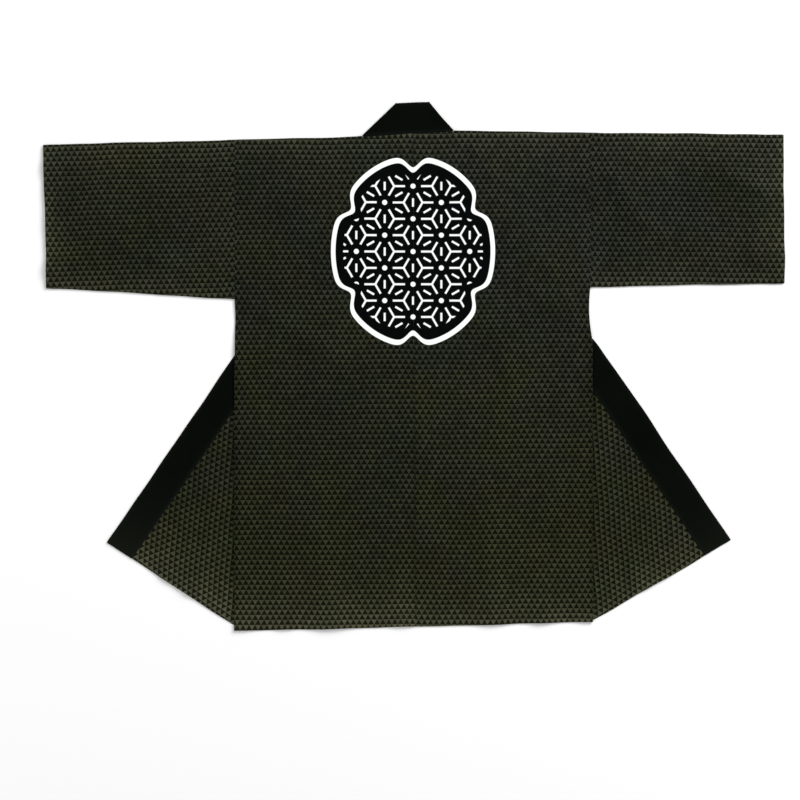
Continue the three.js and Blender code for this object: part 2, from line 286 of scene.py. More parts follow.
def backHeight(p):
    g = garment
    underNeck = 2 * g["collarStep"] * fallOff(away(neckLine, p), g["edgeClearance"], g["neckRamp"])
    betweenFolds = (away(sides["left"]["fold"], p) > 0) & (away(sides["right"]["fold"], p) > 0)
    onSides = np.maximum(backHeightOn(sides["left"], p), backHeightOn(sides["right"], p))
    return np.maximum(onSides, np.where(betweenFolds, underNeck, 0))


# Cloth is cut flat, in one piece with its own grain, and then folded where it lies.
# turned() takes a point over a fold, or back again; roll is the cloth's length round it.


def turned(p, fold, roll):
    return p - np.multiply.outer(2 * away(fold, p) - roll, fold["normal"])


def turnedLine(line, fold, roll):
    start, end, inside = (turned(p, fold, roll) for p in (
        line["start"], line["start"] + line["direction"], line["start"] + line["normal"]))
    return makeLine(start, end, inside)


cutting = {
    "onLine": 1e-7, "tiny": 2e-5,  # what counts as on a line, and edges too short to keep
    "rimRoom": 1.25, "leastTurn": 0.2,  # edges that meet in a seam stop short by this much of the wall
    "slack": 1e-6, "noZero": 1e-12,  # room for rounding
}


def insideOutline(p, outline):
    inside = np.zeros(len(p), bool)
    for a, b in zip(outline, np.roll(outline, -1, axis=0)):
        if a[1] == b[1]:
            continue
        crosses = (a[1] > p[:, 1]) != (b[1] > p[:, 1])
        at = a[0] + (p[:, 1] - a[1]) * (b[0] - a[0]) / (b[1] - a[1])
        inside ^= crosses & (p[:, 0] < at)
    return inside


def bisect(bm, faces, line):
    parts = set(faces)
    for face in faces:
        parts.update(face.edges)
        parts.update(face.verts)
    bmesh.ops.bisect_plane(bm, geom=list(parts), dist=cutting["onLine"],
                           plane_co=(*line["start"], 0), plane_no=(*line["normal"], 0))


def cutCloth(outline, cell, lines):
    outline = np.array(outline)
    low = outline.min(axis=0) - cell
    count = np.ceil((outline.max(axis=0) + cell - low) / cell).astype(int)
    bm = bmesh.new()
    grid = [[bm.verts.new((low[0] + i * cell, low[1] + j * cell, 0)) for j in range(count[1] + 1)]
            for i in range(count[0] + 1)]
    for i in range(count[0]):
        for j in range(count[1]):
            bm.faces.new((grid[i][j], grid[i + 1][j], grid[i + 1][j + 1], grid[i][j + 1]))
    margin = 2 * cell
    for a, b in zip(outline, np.roll(outline, -1, axis=0)):
        edge = makeLine(a, b, a)
        length = np.hypot(*(b - a))
        near = []
        for face in bm.faces:
            centre = np.array(face.calc_center_median()[:2]) - a
            along = centre @ edge["direction"]
            if abs(centre @ edge["normal"]) < margin and -margin < along < length + margin:
                near.append(face)
        bisect(bm, near, edge)
    centres = np.array([face.calc_center_median()[:2] for face in bm.faces])
    outside = ~insideOutline(centres, outline)
    bmesh.ops.delete(bm, geom=[face for face, out in zip(bm.faces[:], outside) if out], context="FACES")
    for line in lines:
        bisect(bm, bm.faces[:], line)
    bmesh.ops.dissolve_degenerate(bm, dist=cutting["tiny"], edges=bm.edges[:])
    bmesh.ops.triangulate(bm, faces=[face for face in bm.faces if len(face.verts) > 4])
    bm.verts.index_update()
    flat = np.array([vert.co[:2] for vert in bm.verts])
    faces = [[vert.index for vert in face.verts] for face in bm.faces]
    bm.free()
    return flat, faces


def everywhere(p):
    return np.ones(len(p), bool)


def layCloth(flat, layers, wall):
    count, slack = len(flat), cutting["slack"]
    plan = flat.copy()
    layerOf = np.zeros(count, int)
    rolling = np.zeros(count, bool)
    middle = np.zeros((count, 3))
    outer = np.zeros((count, 3))
    for index, layer in enumerate(layers):
        for fold in layer["folds"]:
            here = (layerOf == index) & ~rolling & fold.get("only", everywhere)(plan)
            beyond = away(fold["line"], plan)
            onRoll = here & (beyond > slack) & (beyond < fold["roll"] - slack)
            if onRoll.any():
                base = plan[onRoll] - np.multiply.outer(beyond[onRoll], fold["line"]["normal"])
                fromHeight = layer["height"](base)
                toHeight = layers[fold["to"]]["height"](base)
                radius = (fromHeight - toHeight) / 2
                turn = math.pi * beyond[onRoll] / fold["roll"]
                if not fold["whole"]:  # two edges meet in a seam, rim to rim
                    halfRound = math.pi * np.maximum(np.abs(radius), slack)
                    turn *= np.maximum(1 - cutting["rimRoom"] * wall / halfRound, cutting["leastTurn"])
                sign = np.where(radius < 0, -1.0, 1.0)
                side = np.multiply.outer(np.sin(turn), fold["line"]["normal"])
                radial = np.column_stack([side, sign * np.cos(turn)])
                centre = np.column_stack([base, (fromHeight + toHeight) / 2 + wall / 2])
                middle[onRoll] = centre + radial * np.abs(radius)[:, None]
                outer[onRoll] = radial * (layer["up"] * sign)[:, None]
                rolling |= onRoll
            if fold["whole"]:
                over = here & (beyond >= fold["roll"] - slack)
                plan[over] = turned(plan[over], fold["line"], fold["roll"])
                layerOf[over] = fold["to"]
        still = (layerOf == index) & ~rolling
        middle[still] = np.column_stack([plan[still], layer["height"](plan[still]) + wall / 2])
        outer[still] = (0, 0, layer["up"])
    return {"middle": middle, "outer": outer, "layer": layerOf, "rolling": rolling, "plan": plan}


def thicken(name, flat, faces, laid, half, rimSteps, attributes, uv):
    count, noZero = len(flat), cutting["noZero"]
    middle, outer = laid["middle"], laid["outer"]
    skin = [middle + outer * half[:, None], middle - outer * half[:, None]]
    polygons = [tuple(face) for face in faces] + [tuple(i + count for i in reversed(face)) for face in faces]
    directed = {(a, b) for face in faces for a, b in zip(face, face[1:] + face[:1])}
    rim = [edge for edge in directed if (edge[1], edge[0]) not in directed]
    outward = np.zeros((count, 3))
    for a, b in rim:
        side = np.cross(middle[b] - middle[a], outer[a] + outer[b])
        side /= max(np.linalg.norm(side), noZero)
        outward[a] += side
        outward[b] += side
    rimPoints = sorted({i for edge in rim for i in edge})
    place = {point: k for k, point in enumerate(rimPoints)}
    out = outward[rimPoints]
    out /= np.maximum(np.linalg.norm(out, axis=1), noZero)[:, None]
    rings = []
    for step in range(1, rimSteps):
        turn = math.pi * step / rimSteps
        radial = outer[rimPoints] * math.cos(turn) + out * math.sin(turn)
        rings.append(middle[rimPoints] + radial * half[rimPoints][:, None])

    def at(point, step):
        if step == 0:
            return point
        if step == rimSteps:
            return point + count
        return 2 * count + (step - 1) * len(rimPoints) + place[point]

    for a, b in rim:
        for step in range(rimSteps):
            polygons.append((at(b, step), at(a, step), at(a, step + 1), at(b, step + 1)))
    vertices = np.concatenate([*skin, *rings])
    source = np.concatenate([np.arange(count), np.arange(count), *[rimPoints] * (rimSteps - 1)]).astype(int)
    mesh = bpy.data.meshes.new(name)
    mesh.from_pydata(vertices.tolist(), [], polygons)
    mesh.update()
    mesh.shade_smooth()
    uvLayer = mesh.uv_layers.new(name="cut")
    corner = np.empty(len(mesh.loops), int)
    mesh.loops.foreach_get("vertex_index", corner)
    uvLayer.data.foreach_set("uv", uv[source[corner]].astype(np.float32).ravel())
    reverse = np.zeros(len(vertices))
    reverse[count:2 * count] = 1
    spread = {key: values[source] for key, values in attributes.items()}
    for key, values in {**spread, "reverse": reverse}.items():
        layer = mesh.attributes.new(key, "FLOAT", "POINT")
        layer.data.foreach_set("value", values.astype(np.float32))
    return addObject(name, mesh)


def fromSegment(p, start, end):
    span = end - start
    along = np.clip((p - start) @ span / (span @ span), 0, 1)
    return np.linalg.norm(p - start - np.multiply.outer(along, span), axis=1)


def sheetSize(outline):  # the flat sheet's box, and its area
    x, y = np.array(outline).T
    area = abs(x @ np.roll(y, -1) - y @ np.roll(x, -1)) / 2
    return (float(np.ptp(x)), float(np.ptp(y))), float(area)


def rollLines(line, roll, steps):
    return [shifted(line, roll * k / steps) for k in range(steps + 1)]


def hemLines(edge, sizes):
    return [shifted(edge, sizes["hemWidth"]), shifted(edge, sizes["hemWidth"] + sizes["hemStep"])]


def thickerBy(rise, laid, wall):  # a turned hem rises on its upper side alone
    laid["middle"][:, 2] += rise / 2
    return wall / 2 + rise / 2


def nearLine(line, p, amount, reach):  # strongest on the line, weaker to both sides
    return amount * np.exp(-np.abs(away(line, p)) / reach)


def shadowLine(line, p, amount, reach):
    return amount * np.exp(-((away(line, p) / reach) ** 2))


print("materials")


def makeMaker(tree):
    def put(kind, inputs=None, **settings):
        node = tree.nodes.new(kind)
        for key, value in settings.items():
            setattr(node, key, value)
        for key, value in (inputs or {}).items():
            socket = node.inputs[key]
            if isinstance(value, bpy.types.NodeSocket):
                tree.links.new(value, socket)
            else:
                socket.default_value = value
        return node

    def calc(operation, *values):
        return put("ShaderNodeMath", dict(enumerate(values)), operation=operation).outputs[0]

    def blend(factor, a, b):
        return put("ShaderNodeMix", {0: factor, 6: a, 7: b}, data_type="RGBA").outputs[2]

    def each(operation, a, b):
        return put("ShaderNodeVectorMath", {0: a, 1: b}, operation=operation).outputs[0]

    return put, calc, blend, each


def newMaterial(name):
    material = bpy.data.materials.new(name)
    material.use_nodes = True
    material.node_tree.nodes.clear()
    return material, *makeMaker(material.node_tree)


def spot(put, value, edge, soft):  # 1 below edge, 0 above edge + soft
    step = put("ShaderNodeMapRange", {0: value, 1: edge, 2: edge + soft, 3: 1.0, 4: 0.0},
               interpolation_type="SMOOTHSTEP")
    return step.outputs[0]


def painted(put, name):
    return put("ShaderNodeAttribute", attribute_name=name).outputs["Fac"]


def clothPlaces(put):  # a point in the flat cut, its two parts, and its place in the room
    cut = put("ShaderNodeUVMap", uv_map="cut").outputs[0]
    split = put("ShaderNodeSeparateXYZ", {0: cut}).outputs
    return cut, split[0], split[1], put("ShaderNodeTexCoord").outputs["Object"]


def finishCloth(put, colour, height, look):
    bump = put("ShaderNodeBump", {
        "Strength": look["bump"], "Distance": look["threadDepth"], "Height": height})
    shader = put("ShaderNodeBsdfPrincipled", {
        "Base Color": colour, "Roughness": look["roughness"], "Normal": bump.outputs[0],
        "Specular IOR Level": look["specular"],
        "Sheen Weight": look["sheen"], "Sheen Roughness": look["sheenRoughness"],
    })
    put("ShaderNodeOutputMaterial", {"Surface": shader.outputs[0]})


printCotton = {
    "repeatWidth": 0.01018, "rowHeight": 0.00856, "edge": 0.95, "edgeSoft": 0.10,
    "rowLine": 0.055, "rowLineSoft": 0.02, "rowLineShare": 0.6, "drift": 0.0005, "driftScale": 260.0,
    "black": (0.0031, 0.0038, 0.0017, 1), "grey": (0.0280, 0.0298, 0.0194, 1),
    "line": (0.008, 0.006, 0.004, 1),
    "cool": (0.98, 1.00, 1.24, 1), "warm": (0.98, 1.00, 0.74, 1), "faded": (1.04, 1.00, 0.93, 1),
    "coolPlace": (0.17, 0.36), "coolAcross": 0.6, "coolReach": 0.70, "cloudScale": 9.0, "cloud": 2.2,
    "mossy": (0.94, 1.01, 0.99, 1), "russet": (1.07, 0.985, 1.00, 1), "mossScale": 12.0, "moss": 2.4,
    "tone": 0.90, "patchScale": 8.0, "patch": 0.75,
    "unevenInk": 0.36,  # from one triangle to the next
    "lowerFrom": 0.30, "lowerTo": -0.46, "lowerTone": 0.12, "rubbedTone": 0.35,
    "reverseShare": 0.6, "reverseAdded": (0.012, 0.012, 0.009),
    "motifBlack": (0.0012, 0.0018, 0.0018, 1), "motifWhite": (0.86, 0.88, 0.86, 1),
    "yarnAcross": 900.0, "yarnAlong": 28.0, "yarnTone": 0.9, "yarnRise": 1.2,
    "threadPitch": 0.00056, "threadDepth": 0.00012, "bump": 0.5,
    "roughness": 0.93, "specular": 0.02, "sheen": 0.10, "sheenRoughness": 0.4,
}
# The motif printed on the back: hemp leaf strokes and dots in a snow ring
motif = {
    "x": -0.0015, "y": 0.1975, "radius": 0.1640, "narrow": 1.17, "border": 0.0092, "margin": 0.0155,
    "notch": 0.0200, "notchWidth": 0.0190,
    "lattice": 0.0560, "lineWidth": 0.0027, "dot": 0.0040, "gap": 0.0135, "dash": 0.0120, "soft": 0.0007,
}


def motifMasks(put, calc, x, y):
    m = motif
    # The ring: an upright oval with six notches
    wide = calc("MULTIPLY", x, m["narrow"])
    radius = calc("SQRT", calc("ADD", calc("MULTIPLY", wide, wide), calc("MULTIPLY", y, y)))
    sixth = calc("FRACT", calc("ADD", calc("DIVIDE", calc("ARCTAN2", y, wide), math.pi / 3), 0.5))
    fromNotch = calc("SUBTRACT", 0.5, calc("ABSOLUTE", calc("SUBTRACT", sixth, 0.5)))
    arc = calc("MULTIPLY", fromNotch, m["radius"] * math.pi / 3 / m["notchWidth"])
    dent = calc("MULTIPLY", calc("EXPONENT", calc("MULTIPLY", calc("MULTIPLY", arc, arc), -1.0)), m["notch"])
    outside = calc("ADD", calc("SUBTRACT", radius, m["radius"]), dent)
    # Heights over the sides of the lattice's triangle that a point is in
    step = m["lattice"] * math.sqrt(3) / 2
    parts = []
    for turn in (0, 2 * math.pi / 3, 4 * math.pi / 3):
        reach = calc("ADD", calc("MULTIPLY", x, math.cos(turn)), calc("MULTIPLY", y, math.sin(turn)))
        parts.append(calc("FRACT", calc("DIVIDE", reach, step)))
    flip = calc("GREATER_THAN", calc("ADD", calc("ADD", parts[0], parts[1]), parts[2]), 1.5)
    heights = [calc("MULTIPLY", calc("ABSOLUTE", calc("SUBTRACT", flip, part)), step) for part in parts]
    low = calc("MINIMUM", calc("MINIMUM", heights[0], heights[1]), heights[2])
    high = calc("MAXIMUM", calc("MAXIMUM", heights[0], heights[1]), heights[2])
    mid = calc("SUBTRACT", step, calc("ADD", low, high))
    toLeaf = calc("DIVIDE", calc("SUBTRACT", mid, low), math.sqrt(3))
    squares = calc("ADD", calc("MULTIPLY", low, low), calc("MULTIPLY", mid, mid))
    toCorner = calc("SQRT", calc("MULTIPLY", calc("ADD", squares, calc("MULTIPLY", low, mid)), 4 / 3))

    def within(value, edge):
        return spot(put, value, edge, m["soft"])

    clear = calc("SUBTRACT", 1.0, within(toCorner, m["gap"]))
    leaf = calc("MULTIPLY", within(toLeaf, m["lineWidth"] / 2), clear)
    dash = calc("MULTIPLY", within(low, m["lineWidth"] / 2), within(calc("SUBTRACT", high, mid), m["dash"]))
    strokes = calc("MAXIMUM", calc("MAXIMUM", leaf, dash), within(toCorner, m["dot"]))
    lines = calc("MULTIPLY", strokes, within(outside, -m["border"] - m["margin"]))
    field = within(outside, 0.0)
    border = calc("SUBTRACT", field, within(outside, -m["border"]))
    return field, calc("MAXIMUM", border, lines)


def weave(put, calc, u, v, pitch):
    warp = calc("SINE", calc("MULTIPLY", u, math.pi / pitch))
    weft = calc("SINE", calc("MULTIPLY", v, math.pi / pitch))
    return calc("MULTIPLY", calc("MULTIPLY", warp, weft), 0.5)


def noise(put, vector, scale, detail=3.0):
    return put("ShaderNodeTexNoise", {"Vector": vector, "Scale": scale, "Detail": detail}).outputs[0]


def makePrintCotton():
    p = printCotton
    material, put, calc, blend, each = newMaterial("printedCotton")
    cut, u, v, place = clothPlaces(put)
    placed = put("ShaderNodeSeparateXYZ", {0: place}).outputs
    fadeAndPaintedShade, reverse = painted(put, "fadeAndPaintedShade"), painted(put, "reverse")

    def swing(value, amount):  # a value from 0 to 1 made to swing about 0
        return calc("MULTIPLY", calc("SUBTRACT", value, 0.5), amount)

    # Rows of triangles, each row set off by half a repeat, a dark one pointing up the cloth
    drift = swing(noise(put, cut, p["driftScale"], 2.0), p["drift"])
    across = calc("DIVIDE", calc("ADD", u, drift), p["repeatWidth"])
    up = calc("DIVIDE", calc("ADD", v, drift), p["rowHeight"])
    row = calc("FLOOR", up)
    inRow = calc("FRACT", up)
    offAcross = calc("ADD", across, calc("MULTIPLY", row, 0.5))
    inRepeat = calc("FRACT", offAcross)
    fromMiddle = calc("MULTIPLY", calc("ABSOLUTE", calc("SUBTRACT", inRepeat, 0.5)), 2.0)
    overEdge = calc("ADD", fromMiddle, inRow)
    colour = blend(spot(put, overEdge, p["edge"], p["edgeSoft"]), p["grey"], p["black"])
    toRowLine = calc("MINIMUM", inRow, calc("SUBTRACT", 1.0, inRow))
    rowLine = spot(put, toRowLine, p["rowLine"] / 2, p["rowLineSoft"])
    colour = blend(calc("MULTIPLY", rowLine, p["rowLineShare"]), colour, p["line"])
    # The ink of each triangle
    whichDark = calc("FLOOR", offAcross)
    whichGrey = calc("ADD", calc("FLOOR", calc("ADD", offAcross, 0.5)), 0.5)
    isDark = calc("LESS_THAN", overEdge, 1.0)
    which = put("ShaderNodeMix", {0: isDark, 2: whichGrey, 3: whichDark}).outputs[0]
    whichPlace = put("ShaderNodeCombineXYZ", {0: which, 1: row}).outputs[0]
    ink = put("ShaderNodeTexWhiteNoise", {"Vector": whichPlace}).outputs["Value"]
    # Cooler in hue at one shoulder, warmer towards the hem and where it has faded
    toCoolX = calc("MULTIPLY", calc("SUBTRACT", placed[0], p["coolPlace"][0]), p["coolAcross"])
    toCoolY = calc("SUBTRACT", placed[1], p["coolPlace"][1])
    toCool = calc("SQRT", calc("ADD", calc("MULTIPLY", toCoolX, toCoolX), calc("MULTIPLY", toCoolY, toCoolY)))
    cloud = swing(noise(put, place, p["cloudScale"]), p["cloud"])
    hue = calc("ADD", calc("DIVIDE", toCool, p["coolReach"]), cloud)
    tint = blend(fadeAndPaintedShade, blend(hue, p["cool"], p["warm"]), p["faded"])
    moss = calc("ADD", swing(noise(put, place, p["mossScale"]), p["moss"]), 0.5)
    tint = each("MULTIPLY", tint, blend(moss, p["mossy"], p["russet"]))
    colour = each("MULTIPLY", colour, tint)

    # The motif, on the outside of the back alone
    motifX = calc("SUBTRACT", placed[0], motif["x"])
    motifY = calc("SUBTRACT", placed[1], motif["y"])
    field, white = motifMasks(put, calc, motifX, motifY)
    onOutside = calc("MULTIPLY", painted(put, "backLayer"), calc("SUBTRACT", 1.0, reverse))
    motifShare = calc("MULTIPLY", field, onOutside)
    colour = blend(motifShare, colour, blend(white, p["motifBlack"], p["motifWhite"]))

    # Uneven yarns, patches that took more dye, and rubbed edges
    yarns = [noise(put, each("MULTIPLY", cut, (x, y, 1.0)), 1.0) for x, y in (
        (p["yarnAcross"], p["yarnAlong"]), (p["yarnAlong"], p["yarnAcross"]))]
    yarn = calc("MULTIPLY", calc("ADD", *yarns), 0.5)
    lower = put("ShaderNodeMapRange", {0: placed[1], 1: p["lowerFrom"], 2: p["lowerTo"]}).outputs[0]
    tone = calc("ADD", swing(yarn, p["yarnTone"]), swing(noise(put, place, p["patchScale"]), p["patch"]))
    tone = calc("ADD", calc("ADD", tone, swing(ink, p["unevenInk"])), p["tone"])
    tone = calc("ADD", tone, calc("MULTIPLY", lower, p["lowerTone"]))
    # paler at the faded edges, and darker where painted shade lies beside the back's edge over the flap and
    # along the centre seam
    tone = calc("MULTIPLY", tone, calc("ADD", fadeAndPaintedShade, 1.0))
    tone = calc("ADD", tone, calc("MULTIPLY", painted(put, "wear"), p["rubbedTone"]))
    keepWhite = calc("MULTIPLY", motifShare, white)
    tone = calc("ADD", calc("MULTIPLY", tone, calc("SUBTRACT", 1.0, keepWhite)), keepWhite)
    colour = each("MULTIPLY", colour, put("ShaderNodeCombineXYZ", {0: tone, 1: tone, 2: tone}).outputs[0])
    paler = each("ADD", each("MULTIPLY", colour, (p["reverseShare"],) * 3), p["reverseAdded"])
    colour = blend(reverse, colour, paler)
    height = calc("ADD", weave(put, calc, u, v, p["threadPitch"]), calc("MULTIPLY", yarn, p["yarnRise"]))
    finishCloth(put, colour, height, p)
    return material


collarCotton = {
    "black": (0.0005, 0.0011, 0.0005, 1), "rubbed": (0.0046, 0.0056, 0.0044, 1),
    "faded": (0.0090, 0.0112, 0.0068, 1), "wornShare": 0.55, "patchScale": 9.0, "patchShare": 0.9,
    "yarnAlong": 30.0, "yarnAcross": 700.0, "slant": 1.6,
    "threadPitch": 0.00075, "threadDepth": 0.00018, "bump": 0.6,
    "roughness": 0.86, "specular": 0.02, "sheen": 0.04, "sheenRoughness": 0.4,
}


def makeCollarCotton():
    c = collarCotton
    material, put, calc, blend, each = newMaterial("blackCotton")
    cut, u, v, place = clothPlaces(put)
    # A twill: the threads step over each other on the slant
    onSlant = calc("ADD", u, calc("MULTIPLY", v, c["slant"]))
    twill = calc("SINE", calc("MULTIPLY", onSlant, math.pi / c["threadPitch"]))
    yarn = noise(put, each("MULTIPLY", cut, (c["yarnAlong"], c["yarnAcross"], 1.0)), 1.0)
    patch = calc("MULTIPLY", yarn, noise(put, place, c["patchScale"]))
    worn = calc("MULTIPLY", painted(put, "wear"), c["wornShare"])
    rubbed = calc("ADD", worn, calc("MULTIPLY", patch, c["patchShare"]))
    colour = blend(painted(put, "fadeAndPaintedShade"), blend(rubbed, c["black"], c["rubbed"]), c["faded"])
    finishCloth(put, colour, calc("ADD", calc("MULTIPLY", twill, 0.5), yarn), c)
    return material


thread = {
    "clothDark": (0.006, 0.006, 0.005, 1), "clothPale": (0.020, 0.020, 0.016, 1),
    "collarDark": (0.003, 0.003, 0.003, 1), "collarPale": (0.012, 0.012, 0.012, 1),
    "toneScale": 900.0, "twistScale": 1400.0, "twistUneven": 2.0, "threadDepth": 0.0001, "bump": 0.4,
    "roughness": 0.7, "specular": 0.1, "sheen": 0.02, "sheenRoughness": 0.5,
}


def makeThreadMaterial(name, kind):
    t = thread
    material, put, _, blend, _ = newMaterial(name)
    place = put("ShaderNodeTexCoord").outputs["Object"]
    colour = blend(noise(put, place, t["toneScale"], 2.0), t[f"{kind}Dark"], t[f"{kind}Pale"])
    twist = put("ShaderNodeTexWave", {
        "Vector": place, "Scale": t["twistScale"], "Distortion": t["twistUneven"]})
    finishCloth(put, colour, twist.outputs[1], t)
    return material


printedCotton = makePrintCotton()
blackCotton = makeCollarCotton()
clothThread = makeThreadMaterial("darkThread", "cloth")
collarThread = makeThreadMaterial("blackThread", "collar")


# The body: each half is one length of cloth from the back hem over the shoulder to the front hem
body = {
    "wall": 0.0009, "roll": 0.0022, "rollSteps": 6, "seamSteps": 3, "rimSteps": 4,
    "hemWidth": 0.0120, "hemStep": 0.0012, "hemRise": 0.0006, "hemFade": 0.030,
    "seamWidth": 0.0095, "seamStep": 0.0014, "seamRise": 0.0005, "seamEdge": 0.0008, "seamEdgeStep": 0.0022,
    "seamGap": 0.0010, "neckReach": 0.0020, "neckRise": 0.0035, "armpitRoom": 0.0001,
    "grainLean": {"left": 0.0052, "right": 0.0080},  # radians
    "shade": {"left": -0.04, "right": 0.00},  # how much paler the whole piece is
    # How much paler the cloth is at an edge, and how far in that reaches
    "hemFaded": {"left": (1.40, 0.048), "right": (1.10, 0.040)},
    "flapFaded": {"left": (1.40, 0.046), "right": (1.05, 0.040)},
    "shoulderFaded": {"left": (0.62, 0.034), "right": (0.65, 0.034)},
    "stepShadow": (0.30, 0.005),  # painted shade beside the back's edge where it crosses the flap
    "seamShadow": (0.22, 0.003),  # and along the centre seam
    "foldRubbed": 0.7, "shoulderRubbed": (0.7, 0.004), "hemRubbed": (0.8, 0.003),
    "printShift": {"left": (0.0000, 0.0000), "right": (0.0023, 0.0009)},
}


def grainUv(flat, lean, shift, origin):
    c, s = math.cos(lean), math.sin(lean)
    x, y = (flat - origin).T
    return np.column_stack([c * x + s * y + shift[0], -s * x + c * y + shift[1]])


def makeBody(name):
    b = body
    side = sides[name]
    roll = b["roll"]
    fold, bottomEdge, flapHem, sideSeam = (side[key] for key in ("fold", "backHem", "flapHem", "seam"))
    shoulder, armpit, hem, foldEnd = (side[key] for key in ("shoulder", "armpit", "hem", "foldEnd"))
    centreEdge = shifted(makeLine(centreNeck, centreHem, hem), b["seamGap"] / 2)
    neckEdge = shifted(neckLine, b["seamGap"] / 2)
    neckPoint = side["neckBase"] + neckLine["normal"] * b["seamGap"] / 2
    over = roll * fold["normal"]
    shoulderFold = makeLine(neckPoint, shoulder, neckPoint + np.array([0, 1.0]))
    tuck = roll / 2 * sideSeam["normal"]
    flapEnd = mirrored(meet(side["sewnEdge"], side["frontHem"]), fold)

    def besideNeck(p):  # the back's neck edge rises a little over the line of the fold, and stays flat
        inward = (neckPoint - p) @ side["outward"]
        return (inward < b["neckReach"]) | (away(shoulderFold, p) > b["neckRise"])

    def belowArmpit(p):
        return p[:, 1] < armpit[1] + b["armpitRoom"]

    front = [neckPoint, side["seamTurn"], side["seamTurn"] + over, turned(flapEnd, fold, roll),
             foldEnd + over, foldEnd, hem, hem + tuck, armpit + tuck, armpit, shoulder]
    outline = [meet(bottomEdge, centreEdge), meet(neckEdge, centreEdge), neckPoint,
               *[turned(q, shoulderFold, roll) for q in front],
               shoulder, armpit, armpit + tuck, hem + tuck, hem]
    lines = [
        *rollLines(shoulderFold, roll, b["rollSteps"]),
        *rollLines(turnedLine(fold, shoulderFold, roll), roll, b["rollSteps"]),
        *rollLines(sideSeam, roll / 2, b["seamSteps"]),
        *rollLines(turnedLine(sideSeam, shoulderFold, roll), roll / 2, b["seamSteps"]),
        *hemLines(bottomEdge, b),
        *hemLines(turnedLine(side["frontHem"], shoulderFold, roll), b),
        *[shifted(centreEdge, b[width] + step) for width, step in (
            ("seamEdge", 0), ("seamEdge", b["seamEdgeStep"]), ("seamWidth", 0), ("seamWidth", b["seamStep"]))],
    ]
    flat, faces = cutCloth(outline, garment["cell"], lines)
    layers = [
        {"up": 1.0, "height": lambda p: backHeight(p) + lift(p, liftShare["back"]), "folds": [
            {"line": shoulderFold, "roll": roll, "to": 1, "whole": True, "only": besideNeck},
            {"line": sideSeam, "roll": roll, "to": 1, "whole": False, "only": belowArmpit},
        ]},
        {"up": -1.0, "height": lambda p: frontHeight(side, p) + lift(p, liftShare["front"]), "folds": [
            {"line": fold, "roll": roll, "to": 2, "whole": True},
            {"line": sideSeam, "roll": roll, "to": 0, "whole": False, "only": belowArmpit},
        ]},
        {"up": 1.0, "height": lambda p: flapLift(side, p), "folds": []},
    ]
    laid = layCloth(flat, layers, b["wall"])
    plan, still = laid["plan"], ~laid["rolling"]
    onBack, onFlap = laid["layer"] == 0, laid["layer"] == 2

    # Turned hems, and the centre seam's allowance pressed to the left
    backRise = onBack * fallOff(away(bottomEdge, plan), b["hemWidth"], b["hemStep"])
    clearOfBody = 1 - fallOff(away(sideSeam, plan), 0.0, b["hemFade"])
    flapRise = onFlap * fallOff(away(flapHem, plan), b["hemWidth"], b["hemStep"]) * clearOfBody
    rise = b["hemRise"] * (backRise + flapRise)
    if name == "left":
        fromSeam = away(centreEdge, plan)
        atSeam = fallOff(fromSeam, b["seamEdge"], b["seamEdgeStep"])
        rise += b["seamRise"] * onBack * (fallOff(fromSeam, b["seamWidth"], b["seamStep"]) - atSeam)
    half = thickerBy(np.where(still, rise, 0), laid, b["wall"])

    # Faded towards the outer edges, with painted shade beside the back's edge over the flap and along the
    # centre seam
    atHem = np.where(onFlap, nearLine(flapHem, plan, *b["flapFaded"][name]),
                     nearLine(side["frontHem"], plan, *b["flapFaded"][name]))
    atHem = np.where(onBack, nearLine(bottomEdge, plan, *b["hemFaded"][name]), atHem)
    fadeAndPaintedShade = np.maximum(atHem, ~onFlap * nearLine(shoulderFold, plan, *b["shoulderFaded"][name]))
    besideStep = (onBack | onFlap) & (away(side["flapEdge"], plan) > 0)
    fadeAndPaintedShade -= besideStep * shadowLine(sideSeam, plan, *b["stepShadow"])
    fadeAndPaintedShade -= onBack * shadowLine(centreEdge, plan, *b["seamShadow"])
    fadeAndPaintedShade += b["shade"][name]

    # Rubbed along the folds and the hems
    wear = np.max([
        ~still * b["foldRubbed"],
        onBack * nearLine(shoulderFold, plan, *b["shoulderRubbed"]),
        onBack * nearLine(bottomEdge, plan, *b["hemRubbed"]),
        onFlap * nearLine(flapHem, plan, *b["hemRubbed"]),
    ], axis=0)
    attributes = {"backLayer": (onBack & still).astype(float), "wear": wear, "fadeAndPaintedShade": fadeAndPaintedShade}
    uv = grainUv(flat, b["grainLean"][name], b["printShift"][name], centreNeck)
    piece = thicken(f"cloth_body_{name}", flat, faces, laid, half, b["rimSteps"], attributes, uv)
    piece.data.materials.append(printedCotton)
    return piece, *sheetSize(outline)


print("body")
bodies = {name: makeBody(name) for name in sides}


# A sleeve: one cloth folded along the top, its two lower edges sewn together, open at cuff and armhole
sleeve = {
    "wall": 0.0009, "roll": 0.0022, "rollSteps": 6, "seamSteps": 3, "rimSteps": 4,
    "rootGap": 0.0010, "puff": 0.0046, "puffShape": 0.6, "puffFromRoot": 0.080, "puffAtCuff": 0.50,
    "hemWidth": 0.0120, "hemStep": 0.0012, "hemRise": 0.0006, "hemRoom": 0.0040, "hemRoomStep": 0.0100,
    "printShift": {"left": (0.0041, 0.0027), "right": (0.0068, 0.0052)},
    "shade": {"left": 0.03, "right": 0.02},
    "topFaded": (0.65, 0.036), "bottomFaded": (0.75, 0.024), "cuffFaded": (0.95, 0.026),
    "foldRubbed": 0.7, "cuffRubbed": (0.8, 0.003), "topRubbed": (0.6, 0.004),
}


